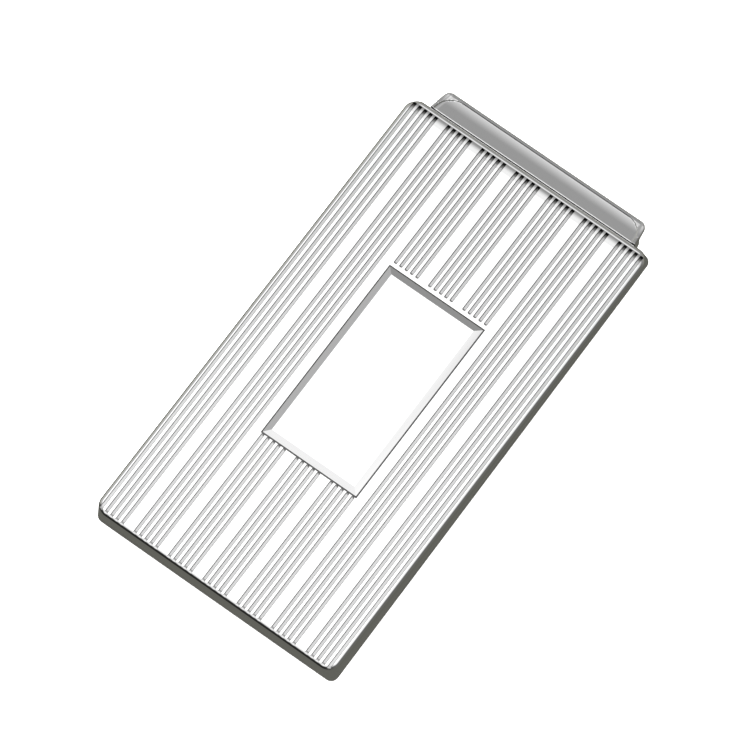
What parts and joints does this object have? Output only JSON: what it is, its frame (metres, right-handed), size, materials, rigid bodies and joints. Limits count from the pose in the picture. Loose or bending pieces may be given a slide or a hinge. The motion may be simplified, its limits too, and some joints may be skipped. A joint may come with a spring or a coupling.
{
  "type": "spring-hinged money clip",
  "caption": "Spring-hinged money clip: grooved, mirror-polished metal cover with a blank engraving panel, and a sprung back arm ending in a finger lip.",
  "frame": {"origin": "centre of the base of the closed clip's bounding box, under the flat back of the arm", "axes": "+Z out of the engraved front, +Y from the hinge towards the finger lip, +X across, to the right when looking at the front with the lip at the top"},
  "size_m": [0.0286, 0.0546, 0.0051],
  "materials": {
    "cover_plate": "mirror-polished silver-coloured plate, with fine engraved grooves",
    "panel_plate": "mirror-polished silver-coloured plate, left blank for engraving",
    "arm_plate": "mirror-polished silver-coloured plate",
    "liner_plate": "satin plate with a fine lengthwise grain",
    "spring_steel": "bright drawn steel wire and rod",
    "hinge_brass": "turned brass"
  },
  "bodies": {
    "cover_assembly": {"front_cover": "cover_plate", "engraving_panel": "panel_plate", "liner_plate": "liner_plate", "liner_rivet_free_left": "liner_plate", "liner_rivet_free_right": "liner_plate", "liner_rivet_hinge_left": "liner_plate", "liner_rivet_hinge_right": "liner_plate", "hinge_bracket": "liner_plate", "bracket_rivet_left": "liner_plate", "bracket_rivet_right": "liner_plate", "hinge_pin": "spring_steel", "pin_retainer": "spring_steel", "hinge_sleeve": "hinge_brass", "thrust_washer_left": "hinge_brass", "thrust_washer_right": "hinge_brass"},
    "sprung_arm": {"clip_arm": "arm_plate", "torsion_spring_left": "spring_steel", "torsion_spring_right": "spring_steel"}
  },
  "joints": [
    {"name": "arm_hinge", "type": "hinge", "parent": "cover_assembly", "child": "sprung_arm", "pos_m": [0, -0.0233, 0.00195], "axis": [-1, 0, 0], "range_deg": [0, 45], "stiffness_Nm_per_rad": 0.05, "springref_deg": -68.75}
  ]
}
